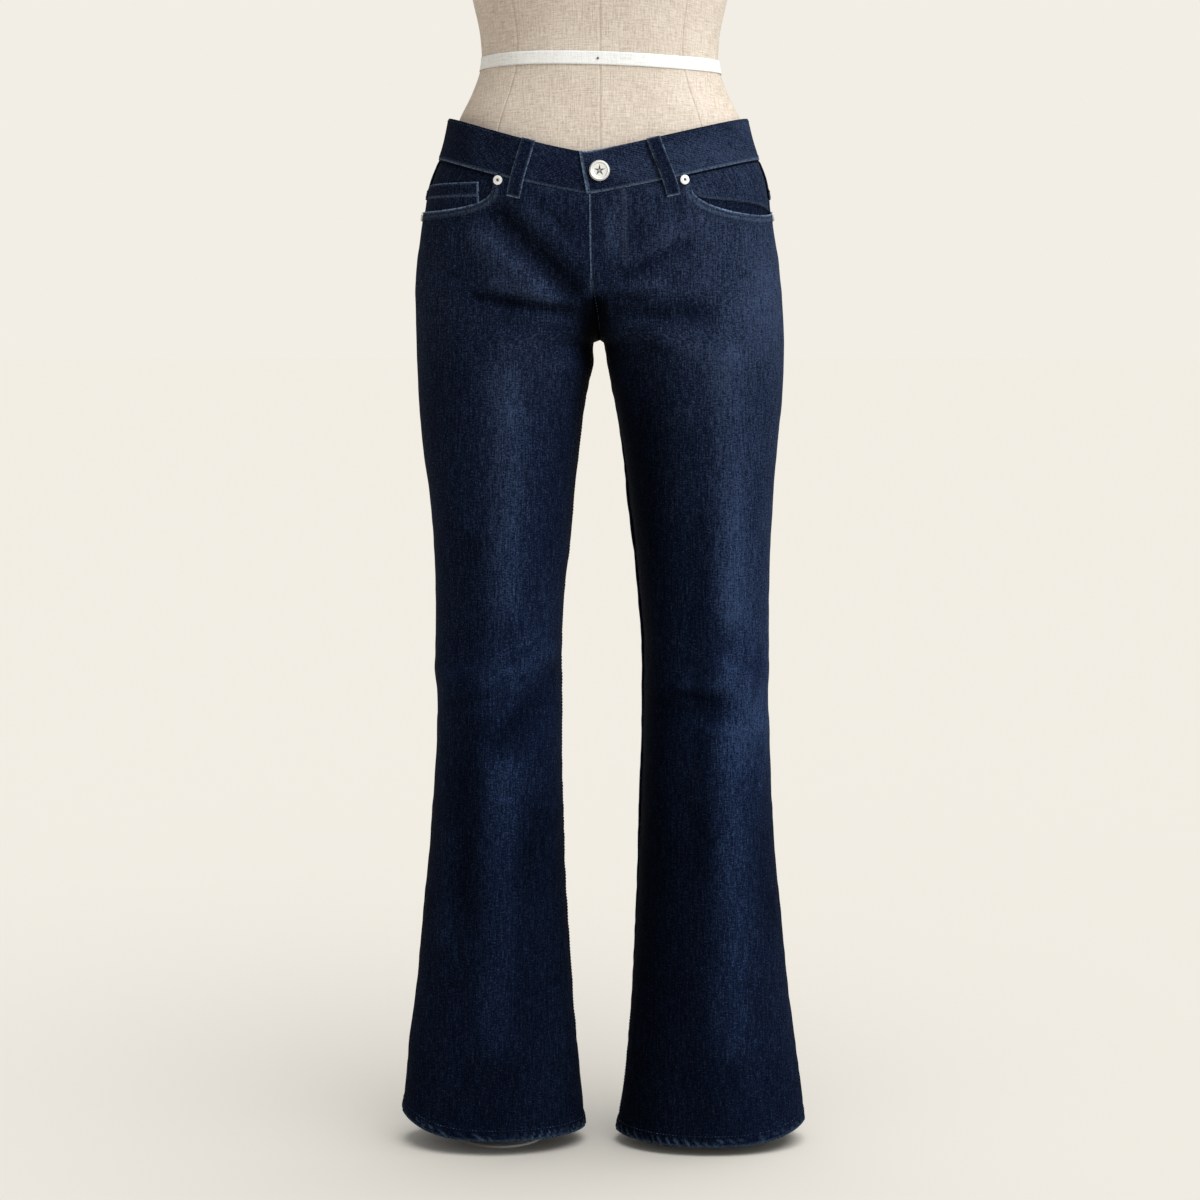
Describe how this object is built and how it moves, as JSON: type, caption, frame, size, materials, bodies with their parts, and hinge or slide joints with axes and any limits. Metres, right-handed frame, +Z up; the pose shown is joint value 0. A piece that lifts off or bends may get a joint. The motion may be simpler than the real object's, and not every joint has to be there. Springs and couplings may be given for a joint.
{
  "type": "bootcut jeans on a dress form",
  "caption": "Low-rise bootcut jeans in dark indigo denim, filled out at the hips by a limbless linen dress form that stands on two rods hidden inside the legs.",
  "frame": {"origin": "on the floor, below the middle of the garment", "axes": "+Z up; the front of the garment faces -Y; +X is the wearer's left"},
  "size_m": [0.4131, 0.2393, 1.6063],
  "materials": {
    "indigo_denim": "dark indigo right-hand twill, faintly slubbed",
    "indigo_denim_cross": "dark indigo twill cut on the cross grain",
    "linen": "natural linen stretched over padding",
    "silver_metal": "satin silver",
    "turned_wood": "satin varnish",
    "stand_steel": "pale satin paint"
  },
  "bodies": {
    "root": {"back_panel_left": "indigo_denim", "back_panel_right": "indigo_denim", "back_pocket_left": "indigo_denim", "back_pocket_right": "indigo_denim", "belt_loop_back_left": "indigo_denim", "belt_loop_back_right": "indigo_denim", "belt_loop_centre_back": "indigo_denim", "belt_loop_front_left": "indigo_denim", "belt_loop_front_right": "indigo_denim", "coin_pocket": "indigo_denim", "dress_form": "linen", "front_panel_left": "indigo_denim", "front_panel_right": "indigo_denim", "neck_cap": "turned_wood", "pocket_facing_left": "indigo_denim", "pocket_facing_right": "indigo_denim", "rivet_inner_left": "silver_metal", "rivet_inner_right": "silver_metal", "rivet_side_left": "silver_metal", "rivet_side_right": "silver_metal", "stand_foot_left": "stand_steel", "stand_foot_right": "stand_steel", "stand_rod_left": "stand_steel", "stand_rod_right": "stand_steel", "tack_button": "silver_metal", "waistband": "indigo_denim_cross", "yoke_left": "indigo_denim_cross", "yoke_right": "indigo_denim_cross"}
  },
  "joints": []
}
